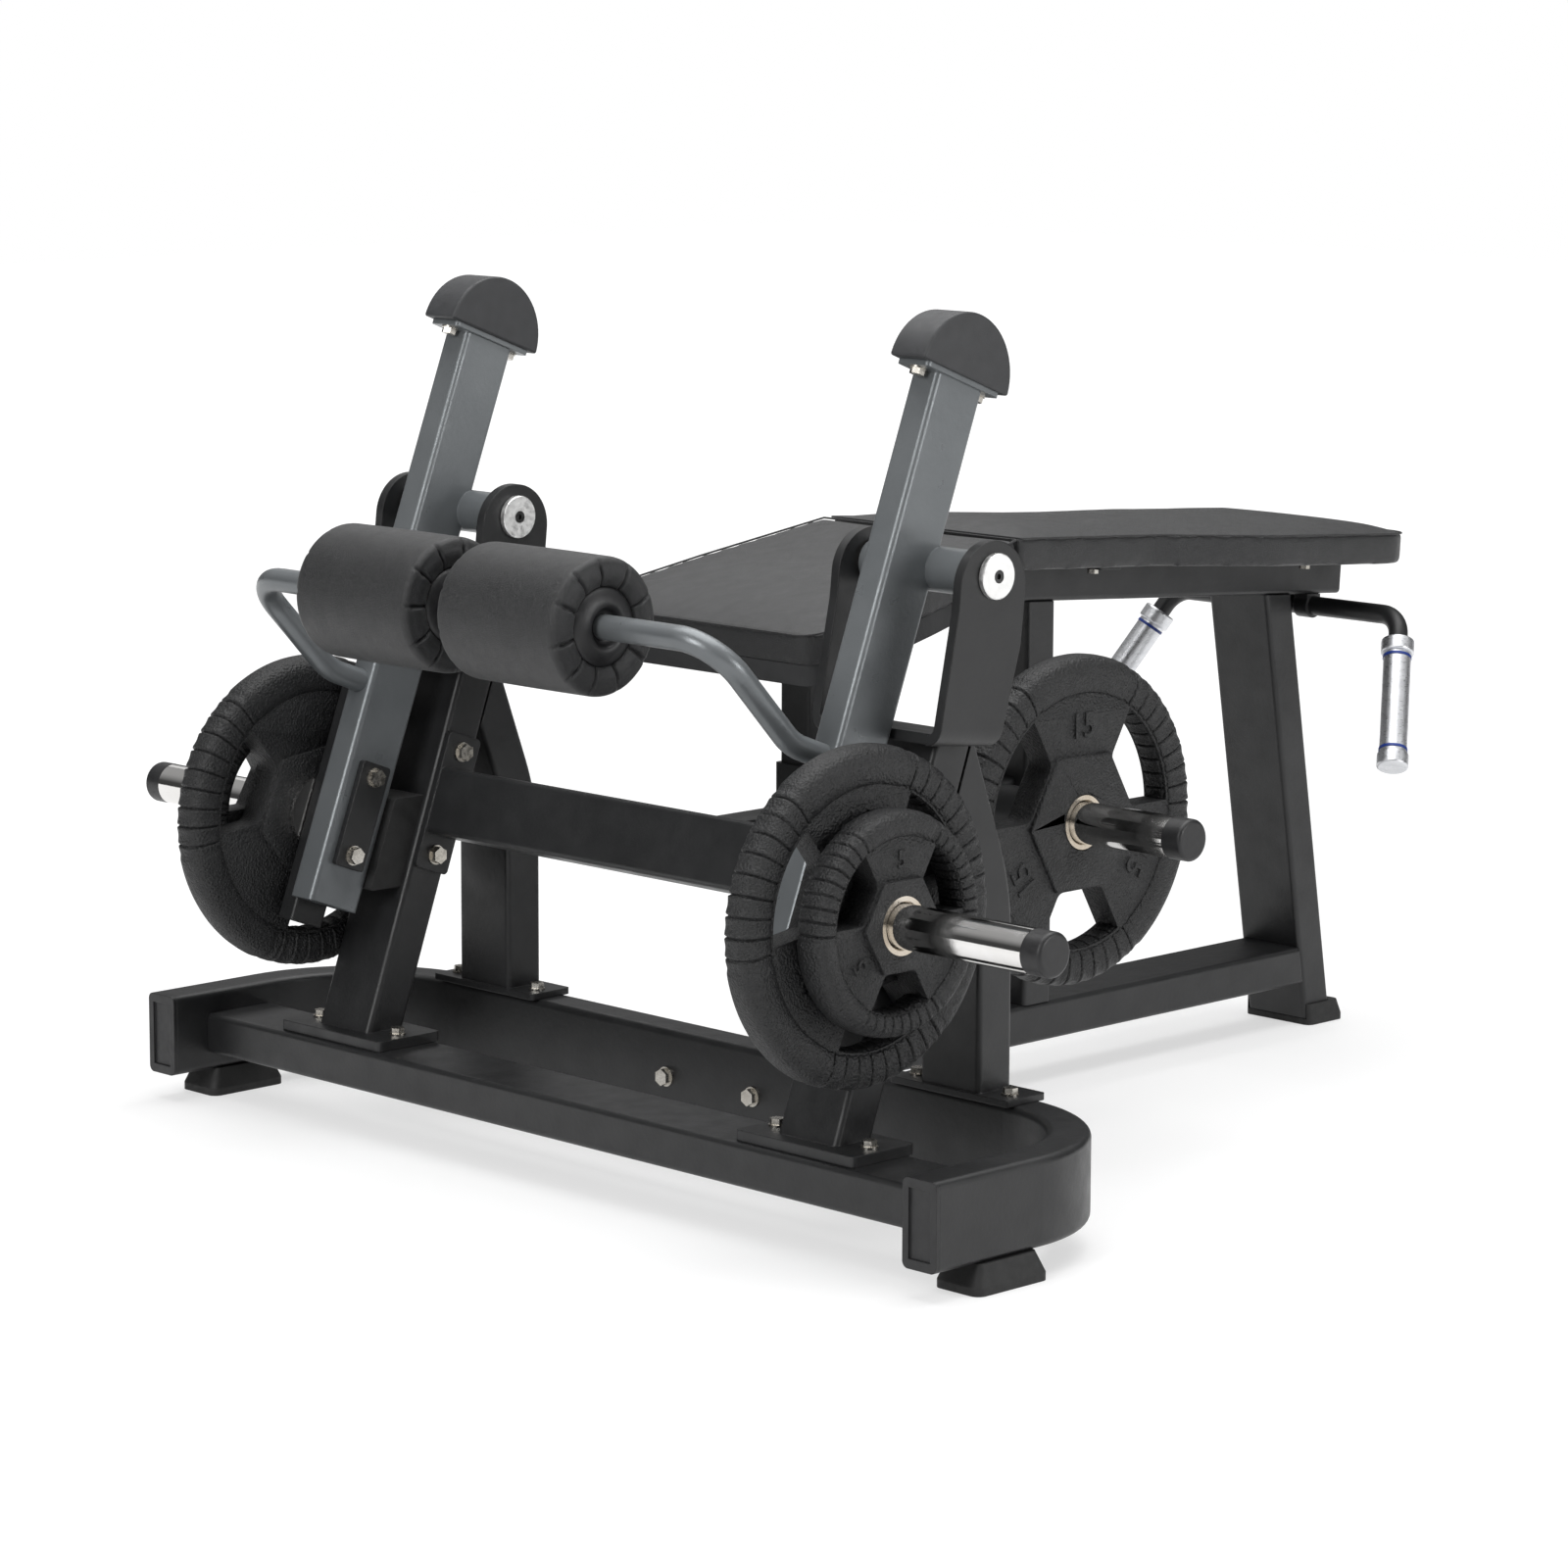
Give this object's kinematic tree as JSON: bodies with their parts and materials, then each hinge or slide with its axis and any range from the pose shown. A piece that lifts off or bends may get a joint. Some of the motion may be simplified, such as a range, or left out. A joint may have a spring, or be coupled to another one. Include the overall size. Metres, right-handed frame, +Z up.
{
  "type": "plate-loaded lying leg curl machine",
  "caption": "Lying leg curl machine: cranked bench with hand grips, and a lever with ankle rollers and weight horns that swings up against loaded plates.",
  "frame": {"origin": "on the floor, under the middle of the machine", "axes": "+X towards the head end of the bench, +Y towards the machine's left side, +Z up"},
  "size_m": [1.5686, 1.52, 1.0194],
  "materials": {
    "frame_paint": "satin black powder coat",
    "lever_paint": "satin metallic blue-grey",
    "weight_paint": "matt black coating",
    "black_plastic": "moulded, matt",
    "black_rubber": "matt",
    "plate_rubber": "cast iron covered with pebbled black rubber",
    "pad_leather": "grained black upholstery",
    "pad_board": "plywood in black cover",
    "chrome": "polished",
    "ring_steel": "turned",
    "zinc": "zinc plated",
    "grip_metal": "fine brushed"
  },
  "bodies": {
    "frame": {"base_u_frame": "frame_paint", "front_cross_tube": "frame_paint", "base_rail": "frame_paint", "head_stanchion": "frame_paint", "mid_stanchion": "frame_paint", "bench_rail": "frame_paint", "mid_beam": "frame_paint", "crossbeam": "frame_paint", "thigh_post": "frame_paint", "pad_tabs": "frame_paint", "handle_bar": "frame_paint", "storage_arm": "frame_paint", "front_post_left": "frame_paint", "front_post_right": "frame_paint", "rear_post_left": "frame_paint", "rear_post_right": "frame_paint", "pivot_bracket_left": "frame_paint", "pivot_bracket_right": "frame_paint", "tube_end_caps": "black_plastic", "front_feet": "black_rubber", "rear_foot": "black_rubber", "bumpers": "black_rubber", "torso_pad": "pad_leather", "thigh_pad": "pad_leather", "torso_board": "pad_board", "thigh_board": "pad_board", "handle_grips": "grip_metal", "handle_collars": "grip_metal", "frame_bolts": "zinc", "pivot_shafts": "zinc", "pivot_discs": "chrome", "pivot_screws": "zinc", "storage_horn": "chrome", "storage_horn_cap": "black_plastic"},
    "lever": {"lever_arm_left": "lever_paint", "lever_arm_right": "lever_paint", "roller_bar": "lever_paint", "pivot_bushes": "zinc", "counterweights": "weight_paint", "lever_bolts": "zinc", "clamp_plates": "frame_paint", "horn_carriers": "frame_paint", "lever_horns": "chrome", "lever_horn_caps": "black_plastic"},
    "roller_left": {"roller_foam_left": "pad_leather", "roller_hubs_left": "black_plastic"},
    "lever_plate_medium_left": {"lever_plate_medium_left": "plate_rubber", "lever_plate_medium_ring_left": "ring_steel"},
    "lever_plate_small_left": {"lever_plate_small_left": "plate_rubber", "lever_plate_small_ring_left": "ring_steel"},
    "roller_right": {"roller_foam_right": "pad_leather", "roller_hubs_right": "black_plastic"},
    "lever_plate_medium_right": {"lever_plate_medium_right": "plate_rubber", "lever_plate_medium_ring_right": "ring_steel"},
    "lever_plate_small_right": {"lever_plate_small_right": "plate_rubber", "lever_plate_small_ring_right": "ring_steel"},
    "storage_plate": {"storage_plate": "plate_rubber", "storage_plate_ring": "ring_steel"}
  },
  "joints": [
    {"name": "lever_swing", "type": "hinge", "parent": "frame", "child": "lever", "pos_m": [-0.37928, 0, 0.736], "axis": [0, 1, 0], "range_deg": [0, 110]},
    {"name": "roller_left_spin", "type": "hinge", "parent": "lever", "child": "roller_left", "pos_m": [-0.70682, 0.123, 0.68306], "axis": [0, 1, 0], "continuous": true},
    {"name": "lever_plate_medium_left_slide", "type": "slide", "parent": "lever", "child": "lever_plate_medium_left", "axis": [0, 1, 0], "range_m": [0, 0.11]},
    {"name": "lever_plate_small_left_slide", "type": "slide", "parent": "lever_plate_medium_left", "child": "lever_plate_small_left", "axis": [0, 1, 0], "range_m": [0, 0.11]},
    {"name": "roller_right_spin", "type": "hinge", "parent": "lever", "child": "roller_right", "pos_m": [-0.70682, -0.123, 0.68306], "axis": [0, 1, 0], "continuous": true},
    {"name": "lever_plate_medium_right_slide", "type": "slide", "parent": "lever", "child": "lever_plate_medium_right", "axis": [0, -1, 0], "range_m": [0, 0.11]},
    {"name": "lever_plate_small_right_slide", "type": "slide", "parent": "lever_plate_medium_right", "child": "lever_plate_small_right", "axis": [0, -1, 0], "range_m": [0, 0.11]},
    {"name": "storage_plate_slide", "type": "slide", "parent": "frame", "child": "storage_plate", "axis": [0, -1, 0], "range_m": [0, 0.165]}
  ]
}
